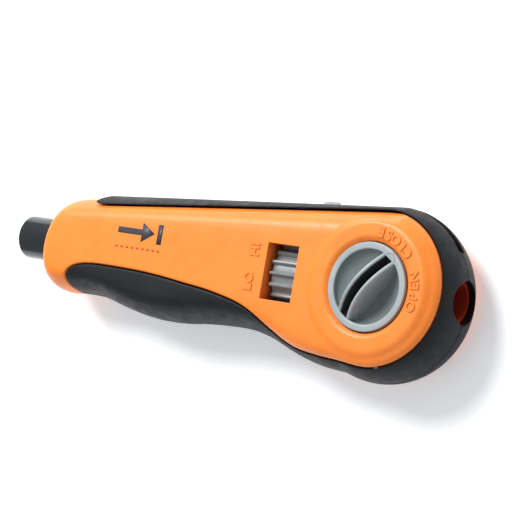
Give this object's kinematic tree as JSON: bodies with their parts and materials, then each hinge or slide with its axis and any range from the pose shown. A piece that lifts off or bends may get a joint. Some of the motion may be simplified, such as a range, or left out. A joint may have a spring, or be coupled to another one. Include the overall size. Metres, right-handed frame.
{
  "type": "impact punch down tool",
  "caption": "Handheld impact punch down tool: two-shell soft-grip body, spring hammer behind a twist-lock blade socket, impact dial, knob-gated blade store, fold-out hook and spudger.",
  "frame": {"origin": "on the resting plane, under the middle of the bounding box, with the tool lying on its flat back face", "axes": "+X from the nose (blade socket) to the rear end, +Y towards the top edge with the fold-out tools, +Z out of the front face that carries the knob and the dial window"},
  "size_m": [0.1551, 0.0477, 0.0272],
  "materials": {
    "orange_shell": "moulded, fine satin texture",
    "black_rubber": "matt, fine moulded grain",
    "bronze": "turned, satin",
    "black_metal": "black finish, semi gloss",
    "spring_steel": "drawn wire and strip",
    "machined_steel": "machined, satin",
    "stamped_steel": "stamped and tumbled",
    "screw_steel": "zinc plated",
    "grey_plastic": "moulded, satin"
  },
  "bodies": {
    "housing": {"front_shell": "orange_shell", "rear_shell": "orange_shell", "front_grip": "black_rubber", "rear_grip": "black_rubber", "nose_bush": "bronze", "dial_thrust_washer": "machined_steel", "knob_washer": "spring_steel", "knob_detent_leaf": "spring_steel", "fold_pivot_pin": "machined_steel", "hammer_spring": "spring_steel", "housing_screw_1": "screw_steel", "housing_screw_2": "screw_steel", "housing_screw_3": "screw_steel", "housing_screw_4": "screw_steel", "housing_screw_5": "screw_steel"},
    "plunger": {"blade_socket": "black_metal", "blade_clip_ring": "spring_steel", "return_spring": "spring_steel"},
    "hammer": {"hammer": "machined_steel", "latch_spring": "spring_steel"},
    "latch": {"latch_plate": "machined_steel"},
    "seat": {"spring_seat": "bronze"},
    "dial": {"impact_dial": "grey_plastic"},
    "knob": {"storage_knob": "grey_plastic"},
    "hook": {"wire_hook": "stamped_steel"},
    "spudger": {"spudger": "stamped_steel"}
  },
  "joints": [
    {"name": "plunger_slide", "type": "slide", "parent": "housing", "child": "plunger", "axis": [1, 0, 0], "range_m": [0, 0.01], "stiffness_N_per_m": 2000},
    {"name": "hammer_slide", "type": "slide", "parent": "housing", "child": "hammer", "axis": [1, 0, 0], "range_m": [0, 0.01], "deforming": ["hammer_spring"]},
    {"name": "latch_slide", "type": "slide", "parent": "hammer", "child": "latch", "axis": [0, 0, 1], "range_m": [0, 0.0014], "deforming": ["latch_spring"]},
    {"name": "dial_turn", "type": "hinge", "parent": "housing", "child": "dial", "pos_m": [0.02468, 0.00098, 0.0112], "axis": [1, 0, 0], "range_deg": [0, 300]},
    {"name": "seat_slide", "type": "slide", "parent": "housing", "child": "seat", "axis": [-1, 0, 0], "range_m": [0, 0.00333]},
    {"name": "knob_turn", "type": "hinge", "parent": "housing", "child": "knob", "pos_m": [0.05348, 0.00098, 0.0192], "axis": [0, 0, 1], "range_deg": [-60, 0]},
    {"name": "hook_fold", "type": "hinge", "parent": "housing", "child": "hook", "pos_m": [0.06498, 0.01548, 0.0119], "axis": [0, 0, 1], "range_deg": [-165, 0]},
    {"name": "spudger_fold", "type": "hinge", "parent": "housing", "child": "spudger", "pos_m": [0.06498, 0.01548, 0.0105], "axis": [0, 0, 1], "range_deg": [-165, 0]}
  ],
  "couplings": [
    {"joint": "hammer_slide", "follows": "plunger_slide", "ratio": 1},
    {"joint": "latch_slide", "follows": "plunger_slide", "ratio": 0.14},
    {"joint": "dial_turn", "follows": "seat_slide", "rad_per_m": 1570.8}
  ]
}
